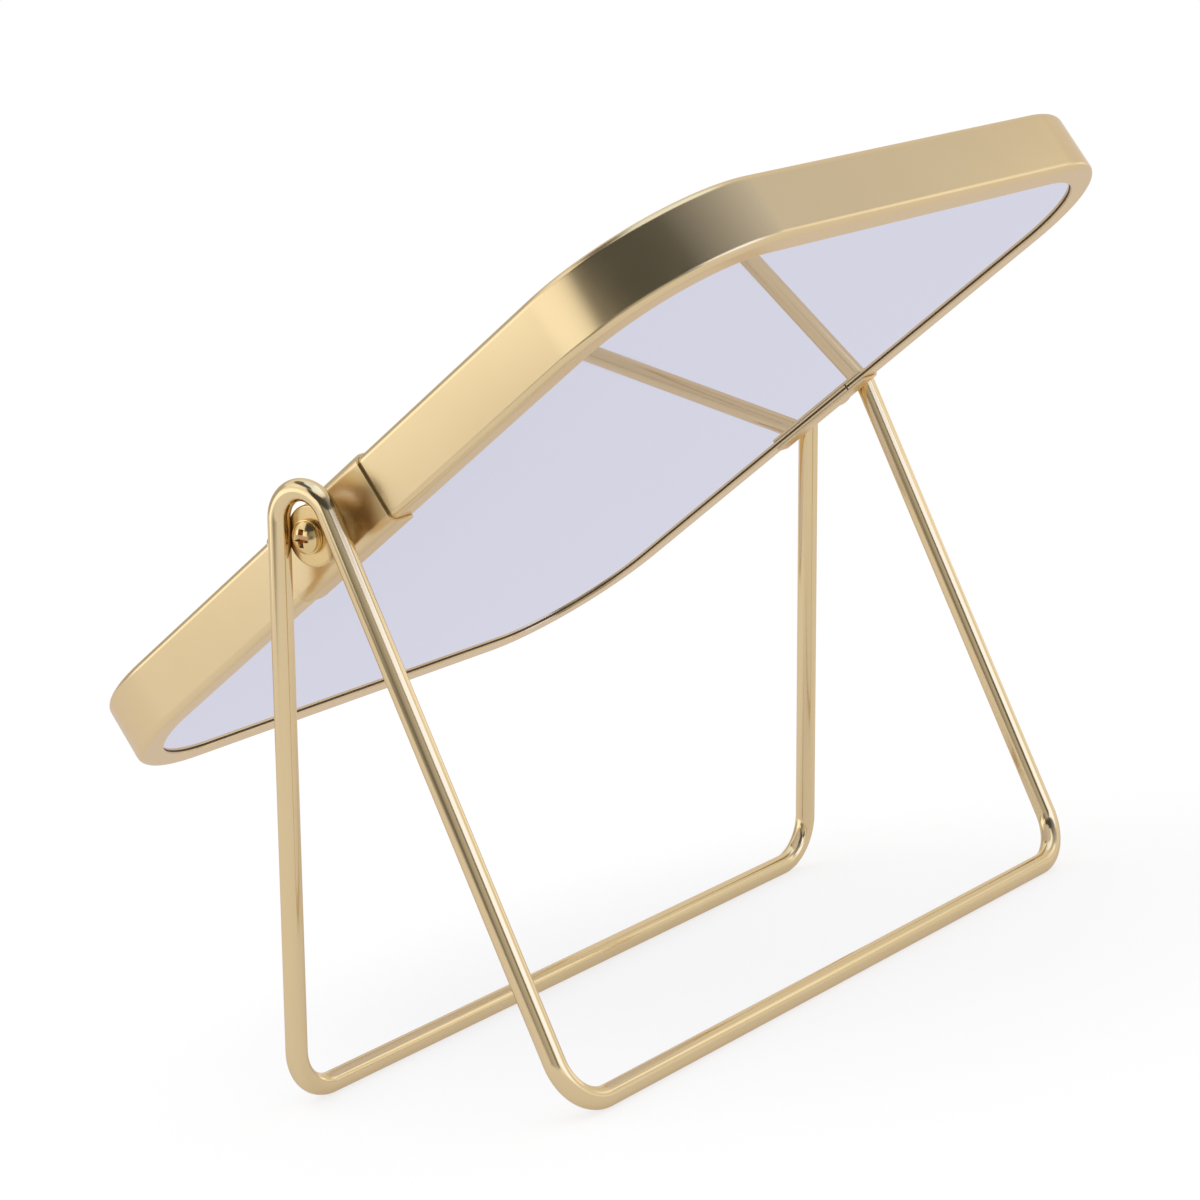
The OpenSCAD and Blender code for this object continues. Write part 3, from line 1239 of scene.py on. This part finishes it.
@dataclass
class HingeHardware(SubAssembly):
    """What turns with the mirror at each hinge: screw, spring washer, friction washer, bush."""

    screw_d: float = 3.0 * MM
    screw_l: float = 8.0 * MM
    tip_bevel: float = 0.5 * MM
    tip_edge: float = 0.1 * MM
    head_d: float = 5.7 * MM
    head_h: float = 1.5 * MM
    head_side_h: float = 0.5 * MM
    head_edge: float = 0.12 * MM
    recess_span: float = 4.0 * MM
    recess_w: float = 1.25 * MM
    recess_depth: float = 1.05 * MM
    recess_over: float = 0.3 * MM
    recess_turn: float = math.radians(49.7)
    flare: float = 1.1
    floor_span: float = 0.5
    floor_w: float = 0.6
    # Painted shade in the recess: the depth to full brown, its reach from the axis and its lowest
    # height.
    brown_depth: float = 0.6 * MM
    brown_within: float = 2.565 * MM
    brown_above: float = 0.1 * MM
    spring_d: float = 6.2 * MM
    spring_edge: float = 0.08 * MM
    slit_w: float = 0.5 * MM
    friction_d: float = 7.0 * MM
    friction_edge: float = 0.12 * MM
    bush_d: float = 5.0 * MM
    bush_edge: float = 0.1 * MM
    collar_d: float = 7.4 * MM
    rivet_d: float = 5.8 * MM
    hole_gap: float = 0.03 * MM
    edge_steps: int = 4
    dome_steps: int = 18
    screw_segments: int = 96

    def build(self, hinges: BothHinges) -> None:
        """Builds the four kinds of part.

        Args:
            hinges: The tree that sets a part at both hinges.
        """
        stack = self.stack
        spring = self.ring("spring", self.spring_d, stack.spring_t, self.spring_edge, self.slit_w)
        friction = self.ring("friction", self.friction_d, stack.friction_t, self.friction_edge)
        bush, screw = self.bush_mesh(), self.screw_mesh()
        self.place(hinges, "pivot_screw", screw, stack.head_seat(), Coat.BRIGHT_GOLD, "pivot_screws")
        self.place(
            hinges, "spring_washer", spring, stack.spring_inside(), Coat.BRIGHT_GOLD, "split_washers"
        )
        self.place(
            hinges, "friction_washer", friction, stack.friction_inside(), Coat.NYLON, "nylon_washers"
        )
        self.place(
            hinges, "threaded_bush", bush, stack.bush_inside(), Coat.BUSH_BRASS, "riveted_bushes"
        )

    def place(
        self,
        hinges: BothHinges,
        stem: str,
        mesh: bpy.types.Mesh,
        distance: float,
        coat: Coat,
        title: str,
    ) -> None:
        """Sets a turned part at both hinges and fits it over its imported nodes.

        Args:
            hinges: The tree that sets a part at both hinges.
            stem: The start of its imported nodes' names.
            mesh: One part, with +Z outwards.
            distance: How far its base lies from the middle of the mirror.
            coat: Its finish, whose name is its material slot's as well.
            title: The piece's name.
        """
        piece = hinges.bake(
            title, mesh, {"Distance": distance, "Material": self.coats[coat]}
        )
        piece.data.transform(self.axis.matrix())
        shade(piece)
        self.fit(piece, Body.MIRROR, Slot[coat.name], [side.node(stem) for side in Side])

    def hole_r(self) -> float:
        """Returns the radius of the holes that the screw runs in."""
        return self.screw_d / 2 + self.hole_gap

    def ring(
        self, title: str, across: float, thickness: float, edge: float, slit: float = 0.0
    ) -> bpy.types.Mesh:
        """Turns a flat washer with softened edges.

        Args:
            title: The mesh's name.
            across: Its outer diameter.
            thickness: Its thickness.
            edge: The radius of its edges.
            slit: The width of its slit at the rim, 0 where it is closed.

        Returns:
            The washer's mesh.
        """
        hole, rim = self.hole_r(), across / 2
        outline = rounded_outline(
            [(hole, 0.0, edge), (rim, 0.0, edge), (rim, thickness, edge), (hole, thickness, edge)],
            self.edge_steps,
        )
        return lathe(title, outline, slit=2 * math.asin(slit / 2 / rim))

    def bush_mesh(self) -> bpy.types.Mesh:
        """Turns a bush with its riveted end, its body and its collar.

        Returns:
            The bush's mesh.
        """
        hole, edge, rivet_t = self.hole_r(), self.bush_edge, self.stack.rivet_t
        neck = self.stack.clip_outside() - self.stack.bush_inside()
        top = neck + self.stack.collar_t
        corners = [
            (hole, 0.0, edge),
            (self.rivet_d / 2, 0.0, 3 * edge),
            (self.rivet_d / 2, rivet_t, edge),
            (self.bush_d / 2, rivet_t, 0.0),
            (self.bush_d / 2, neck, 0.0),
            (self.collar_d / 2, neck, edge),
            (self.collar_d / 2, top, 2 * edge),
            (hole, top, edge),
        ]
        return lathe("bush", rounded_outline(corners, self.edge_steps))

    def dome_r(self) -> float:
        """Returns the radius of the head's dome."""
        rise = self.head_h - self.head_side_h
        return ((self.head_d / 2) ** 2 + rise**2) / (2 * rise)

    def screw_mesh(self) -> bpy.types.Mesh:
        """Turns the pan-headed screw and cuts its cross recess.

        Returns:
            The screw's mesh, its seat at height 0.
        """
        rim, dome = self.head_d / 2, self.dome_r()
        arc = [
            (dome * math.sin(angle), self.head_h - dome + dome * math.cos(angle))
            for angle in (
                math.asin(rim / dome) * step / self.dome_steps for step in range(self.dome_steps)
            )
        ]
        shank, tip = self.screw_d / 2, self.screw_l
        lower = [
            (0.0, -tip, 0.0),
            (shank - self.tip_bevel, -tip, self.tip_edge),
            (shank, self.tip_bevel - tip, self.tip_edge),
            (shank, 0.0, 0.0),
            (rim, 0.0, self.head_edge),
            (rim, self.head_side_h, 0.0),
        ]
        outline = rounded_outline(lower, self.edge_steps) + arc[::-1]
        mesh = self.cut_recess(lathe("screw", outline, segments=self.screw_segments))
        # Paints shade into the recess, browner with depth.
        TintedAndShaded.mark(mesh, self.recess_painted_shade)
        return mesh

    def cut_recess(self, turned: bpy.types.Mesh) -> bpy.types.Mesh:
        """Cuts the two arms of the cross recess.

        Args:
            turned: The screw as it was turned.

        Returns:
            The screw with its recess.
        """
        screw = new_piece("screw", turned)
        arms = [new_piece("arm", self.arm_mesh(turn)) for turn in (0.0, math.pi / 2)]
        for arm in arms:
            cut = screw.modifiers.new("recess", "BOOLEAN")
            cut.operation = "DIFFERENCE"
            cut.solver = "EXACT"
            cut.object = arm
        settle(screw)
        mesh = screw.data
        for used in (screw, *arms):
            bpy.data.objects.remove(used)
        return mesh

    def arm_mesh(self, turn: float) -> bpy.types.Mesh:
        """Makes one arm of the cross recess, which narrows with its depth.

        Args:
            turn: The arm's angle from the recess's own first arm.

        Returns:
            The arm's mesh.
        """
        spin = Matrix.Rotation(self.recess_turn + turn, 4, "Z")
        levels = []
        for depth, span, width in (
            (-self.recess_over, self.flare, self.flare),
            (self.recess_depth, self.floor_span, self.floor_w),
        ):
            reach, half = span * self.recess_span / 2, width * self.recess_w / 2
            corners = ((reach, -half), (reach, half), (-reach, half), (-reach, -half))
            levels.append([spin @ Vector((x, y, self.head_h - depth)) for x, y in corners])
        return loft("arm", levels)

    def recess_painted_shade(self, place: Vector) -> float:
        """Returns how much painted shade browns the screw at a place, by its depth under the dome.

        Args:
            place: A point on the screw, whose seat is at height 0.

        Returns:
            The share of brown, which is 0 on the dome and outside the recess.
        """
        reach, dome = place.to_2d().length, self.dome_r()
        if reach >= self.brown_within or place.z <= self.brown_above:
            return 0.0
        surface = self.head_h - dome + math.sqrt(dome**2 - reach**2)
        return min(1.0, (surface - place.z) / self.brown_depth)


@dataclass
class GlassPack(SubAssembly):
    """The layers inside the strip, from the dark strip under the front lip to the back panel."""

    wears: Mapping[str, Coat] = field(
        default_factory=lambda: {
            # The lip gasket's dark strip also stands in for the shade in the gap under the lip.
            "lip_gasket": Coat.RUBBER,
            "mirror_glass": Coat.SILVERED_GLASS,
            "foam_sheet": Coat.FOAM,
            "backing_board": Coat.PRESSED_BOARD,
            "back_panel": Coat.GOLD_PAINT,
        }
    )

    def build(self) -> None:
        """Gives each layer its material."""
        for node, coat in self.wears.items():
            self.dress(node, coat)


# The studio.


@dataclass(frozen=True)
class Card:
    """A card or softbox round the object, with soft edges, that shows only in its reflections.

    Headings run from 0 at -X to 90 at -Y, and both headings and elevations are in degrees. A
    card's lean is how far the top of its first end is turned from its foot.
    """

    title: str
    headings: Point
    elevations: Point
    lights: Point
    feather: Point = (0.05, 0.05)
    distance: float = 3.0
    lean: float = 0.0
    tint: str = "#FFFFFF"
    steps: int = 24

    def build(self) -> None:
        """Bends the card round the object and lights it."""
        points, corners = [], []
        for row in range(2):
            rise = math.radians(self.elevations[row])
            for step in range(self.steps + 1):
                share = step / self.steps
                first, last = self.headings
                turn = math.radians((first + self.lean * row) * (1 - share) + last * share)
                points.append(
                    Vector(
                        (
                            -math.cos(turn) * math.cos(rise),
                            -math.sin(turn) * math.cos(rise),
                            math.sin(rise),
                        )
                    )
                    * self.distance
                )
                corners.append((share, float(row)))
        wide = self.steps + 1
        faces = [
            (step, step + 1, wide + step + 1, wide + step) for step in range(self.steps)
        ]
        mesh = bpy.data.meshes.new(self.title)
        mesh.from_pydata(points, [], faces)
        spread = mesh.uv_layers.new(name="spread")
        for loop in mesh.loops:
            spread.data[loop.index].uv = corners[loop.vertex_index]
        mesh.materials.append(self.glow())
        card = new_piece(self.title, mesh)
        card.visible_camera = False
        card.visible_diffuse = False
        card.visible_shadow = False
        card.visible_transmission = False
        card.visible_volume_scatter = False

    def glow(self) -> bpy.types.Material:
        """Builds the card's light: its level runs from end to end and fades out at its edges.

        Returns:
            The card's material.
        """
        material = bpy.data.materials.new(self.title)
        material.use_nodes = True
        tree = material.node_tree
        tree.nodes.clear()
        spread = add_node(tree, "ShaderNodeUVMap", uv_map="spread").outputs["UV"]
        along = add_node(tree, "ShaderNodeSeparateXYZ", {"Vector": spread}).outputs["X"]
        level = add_node(
            tree,
            "ShaderNodeMapRange",
            {"Value": along, "To Min": self.lights[0], "To Max": self.lights[1]},
        )
        middle = add_node(
            tree, "ShaderNodeVectorMath", {0: spread, 1: (0.5, 0.5, 0.0)}, operation="SUBTRACT"
        )
        reach = add_node(
            tree, "ShaderNodeVectorMath", {0: middle.outputs["Vector"]}, operation="ABSOLUTE"
        )
        edges = add_node(
            tree,
            "ShaderNodeMapRange",
            {
                "Vector": reach.outputs["Vector"],
                7: (0.5, 0.5, 1.0),
                8: (0.5 - self.feather[0], 0.5 - self.feather[1], 0.0),
                9: (0.0, 0.0, 0.0),
                10: (1.0, 1.0, 1.0),
            },
            data_type="FLOAT_VECTOR",
            interpolation_type="SMOOTHSTEP",
        )
        both = add_node(
            tree, "ShaderNodeSeparateXYZ", {"Vector": edges.outputs["Vector"]}
        ).outputs
        cover = add_node(tree, "ShaderNodeMath", {0: both["X"], 1: both["Y"]}, operation="MULTIPLY")
        lit = add_node(
            tree,
            "ShaderNodeEmission",
            {"Color": linear(self.tint), "Strength": level.outputs["Result"]},
        )
        clear = add_node(tree, "ShaderNodeBsdfTransparent")
        mixed = add_node(
            tree,
            "ShaderNodeMixShader",
            {0: cover.outputs["Value"], 1: clear.outputs["BSDF"], 2: lit.outputs["Emission"]},
        )
        add_node(tree, "ShaderNodeOutputMaterial", {"Surface": mixed.outputs["Shader"]})
        return material


@dataclass
class Studio:
    """The white table, the light and the camera."""

    floor_size: float = 40.0
    table_colour: str = "#FCFCFC"
    table_in_metal: str = "#E3E3E7"
    table_glow: float = 0.7
    table_glow_in_metal: float = 0.55
    table_level: float = 1.04
    table_level_in_metal: float = 1.06
    lamp_power: float = 3.0
    lamp_size: float = 1.2
    lamp_place: Place = (-0.5, 0.3, 1.5)
    lamp_aim: Place = (0.0, 0.0, 50 * MM)
    # focal_px and the camera's place, right and up were solved from the photograph's straight edges.
    focal_px: float = 3497.1
    image_px: float = 1200.0
    half_px: float = 0.5
    sensor: float = 36.0
    nearest: float = 0.01
    farthest: float = 100.0
    camera_place: Place = (-509.72 * MM, -412.12 * MM, 165.59 * MM)
    camera_right: Place = (0.6065161, -0.7760477, -0.1728822)
    camera_up: Place = (0.2148916, -0.0493430, 0.9753906)
    # The cards stand for the room that the metal mirrors. A least-squares fit of the metal's brightness
    # to the photograph found their numbers, which were then rounded. Only dark_gap and the tints were
    # given one by one.
    cards: Sequence[Card] = (
        # The unlit room in front of the mirror, which lies as the dark band over the near bend.
        Card(
            "dark_room",
            headings=(-17, 77),
            elevations=(3.7, 52.3),
            lights=(0.06, 0.1),
            feather=(0.04, 0.04),
            distance=2.19,
            lean=-5,
            tint="#F1F9FF",
        ),
        # A grey counter close by, which grades the dark lines down the front legs.
        Card(
            "grey_counter",
            headings=(-13, 68),
            elevations=(0, 26.3),
            lights=(0.18, 0.71),
            feather=(0.27, 0.03),
            distance=0.67,
            lean=7,
        ),
        # The counter's dark edge, which deepens one line down the near front leg.
        Card(
            "dark_edge",
            headings=(-23, 21),
            elevations=(0.4, 19.2),
            lights=(0.42, 0.09),
            feather=(0.18, 0.42),
            distance=0.38,
            lean=-15,
        ),
        # A wall that brightens to the right, which runs the bend's dark band out into the top side.
        Card(
            "dim_wall",
            headings=(62, 158),
            elevations=(17.6, 55.4),
            lights=(0.11, 0.86),
            feather=(0.05, 0.05),
            distance=1.91,
            lean=-3,
            tint="#E6ECFF",
        ),
        # A white board on the left, which lights the near side of the strip up to the bend.
        Card(
            "left_board",
            headings=(-64, -3),
            elevations=(0.1, 24),
            lights=(1.57, 1.15),
            feather=(0.03, 0.05),
            distance=1.17,
            lean=2,
        ),
        # A softbox high on the left, which lights the back fold where the bend starts.
        Card(
            "left_softbox",
            headings=(-109, -28),
            elevations=(31.4, 61.6),
            lights=(0.75, 1.29),
            feather=(0.22, 0.29),
            distance=2.92,
        ),
        # The dark gap over that softbox, which breaks the light on the bend's back fold.
        Card(
            "dark_gap",
            headings=(-106, 6),
            elevations=(51, 74),
            lights=(0.15, 0.12),
            feather=(0.08, 0.13),
            distance=2.6,
        ),
        # A cool softbox that leans far over, which draws the bright line down the front legs.
        Card(
            "front_softbox",
            headings=(101, 122),
            elevations=(1.5, 24.4),
            lights=(2.13, 2.13),
            feather=(0.09, 0.02),
            distance=1.84,
            lean=-49,
            tint="#CEDAFF",
        ),
        # A bright strip close by on the right, which lines the rails and the strip's top side.
        Card(
            "window_strip",
            headings=(136, 162),
            elevations=(17.5, 36.4),
            lights=(1.34, 0.71),
            feather=(0.07, 0.07),
            distance=0.5,
            lean=-8,
        ),
        # A board low on the right, which lightens the rails and one side of the front legs.
        Card(
            "right_board",
            headings=(132, 184),
            elevations=(0, 29.4),
            lights=(0.55, 1.59),
            feather=(0.25, 0.03),
            distance=3.16,
            lean=-4,
        ),
        # The wall behind the mirror, which shades the rails, the top side and its back fold.
        Card(
            "rear_wall",
            headings=(143, 300),
            elevations=(1.8, 62.2),
            lights=(0.74, 0.99),
            feather=(0.09, 0.15),
            distance=3.3,
            lean=-4,
        ),
        # A darker board behind the left side, which keeps the near side's back fold quiet.
        Card(
            "back_board",
            headings=(-139, -66),
            elevations=(1.6, 36.1),
            lights=(0.69, 0.45),
            feather=(0.09, 0.1),
            distance=2.86,
            lean=1,
        ),
        # The softbox overhead, all the way round, which lights the back fold past the dark gap.
        Card(
            "top_softbox",
            headings=(-180, 180),
            elevations=(57.1, 88.2),
            lights=(1.32, 1.73),
            feather=(0.005, 0.23),
            distance=3,
            tint="#D4E6FF",
        ),
    )

    def build(self) -> None:
        """Sets the floor, the light and the camera."""
        self.build_floor()
        self.build_world()
        self.build_lamp()
        for card in self.cards:
            card.build()
        self.build_camera()
        settings = bpy.context.scene.view_settings
        settings.view_transform = "Standard"

    def build_floor(self) -> None:
        """Lays a white table under the object."""
        half = self.floor_size / 2
        mesh = bpy.data.meshes.new("table")
        mesh.from_pydata(
            [(-half, -half, 0), (half, -half, 0), (half, half, 0), (-half, half, 0)],
            [],
            [(0, 1, 2, 3)],
        )
        mesh.materials.append(self.white_table())
        new_piece("table", mesh)

    def white_table(self) -> bpy.types.Material:
        """Mixes the table's paint with light of its own, so that only a faint shadow is left on it.

        Returns:
            The material, which is a little darker and greyer where metal or glass mirrors it.
        """
        material = bpy.data.materials.new("white table")
        material.use_nodes = True
        tree = material.node_tree
        tree.nodes.clear()
        rays = add_node(tree, "ShaderNodeLightPath").outputs
        paint = add_node(
            tree,
            "ShaderNodeMix",
            {
                "Factor": rays["Is Glossy Ray"],
                "A": linear(self.table_colour),
                "B": linear(self.table_in_metal),
            },
            data_type="RGBA",
        )
        level = add_node(
            tree,
            "ShaderNodeMapRange",
            {
                "Value": rays["Is Glossy Ray"],
                "To Min": self.table_level,
                "To Max": self.table_level_in_metal,
            },
        )
        matt = add_node(tree, "ShaderNodeBsdfDiffuse", {"Color": paint.outputs["Result"]})
        bright = add_node(
            tree,
            "ShaderNodeEmission",
            {"Color": paint.outputs["Result"], "Strength": level.outputs["Result"]},
        )
        seen = add_node(
            tree,
            "ShaderNodeMath",
            {0: rays["Is Camera Ray"], 1: self.table_glow},
            operation="MULTIPLY",
        )
        share = add_node(
            tree,
            "ShaderNodeMath",
            {0: rays["Is Glossy Ray"], 1: self.table_glow_in_metal, 2: seen.outputs["Value"]},
            operation="MULTIPLY_ADD",
        )
        mixed = add_node(
            tree,
            "ShaderNodeMixShader",
            {0: share.outputs["Value"], 1: matt.outputs["BSDF"], 2: bright.outputs["Emission"]},
        )
        add_node(tree, "ShaderNodeOutputMaterial", {"Surface": mixed.outputs["Shader"]})
        return material

    def build_world(self) -> None:
        """Surrounds the object with plain white light."""
        world = bpy.data.worlds.new("white studio")
        world.use_nodes = True
        tree = world.node_tree
        tree.nodes.clear()
        air = add_node(
            tree, "ShaderNodeBackground", {"Color": (1.0, 1.0, 1.0, 1.0), "Strength": 1.0}
        )
        add_node(tree, "ShaderNodeOutputWorld", {"Surface": air.outputs["Background"]})
        bpy.context.scene.world = world

    def build_lamp(self) -> None:
        """Hangs one large soft lamp that gives the shadow its direction."""
        light = bpy.data.lights.new("soft_lamp", "AREA")
        light.energy = self.lamp_power
        light.shape = "DISK"
        light.size = self.lamp_size
        lamp = bpy.data.objects.new("soft_lamp", light)
        bpy.context.scene.collection.objects.link(lamp)
        lamp.location = self.lamp_place
        aim = Vector(self.lamp_aim) - Vector(self.lamp_place)
        lamp.rotation_euler = aim.to_track_quat("-Z", "Y").to_euler()
        lamp.visible_glossy = False

    def build_camera(self) -> None:
        """Stands the camera where the photograph was taken."""
        data = bpy.data.cameras.new("camera")
        data.sensor_width = self.sensor
        data.lens = self.focal_px / self.image_px * self.sensor
        data.shift_x, data.shift_y = -self.half_px / self.image_px, self.half_px / self.image_px
        data.clip_start = self.nearest
        data.clip_end = self.farthest
        camera = bpy.data.objects.new("camera", data)
        bpy.context.scene.collection.objects.link(camera)
        right, up = Vector(self.camera_right), Vector(self.camera_up)
        axes = Matrix((right, up, right.cross(up))).transposed()
        camera.matrix_world = Matrix.Translation(self.camera_place) @ axes.to_4x4()
        bpy.context.scene.camera = camera


def main() -> None:
    """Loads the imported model, dresses it and lights it."""
    logging.basicConfig(level=logging.INFO, format="%(message)s")
    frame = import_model()
    sweep, hinges = BentSweep(), BothHinges()
    shared = {
        "coats": {coat: coat.value.build() for coat in Coat},
        "nodes": frame["nodes"],
    }
    WireStand(**shared).build(sweep, hinges)
    MirrorFrame(**shared).build(sweep)
    HingeClips(**shared).build()
    HingeHardware(**shared).build(hinges)
    GlassPack(**shared).build()
    Studio().build()


if __name__ == "__main__":
    main()
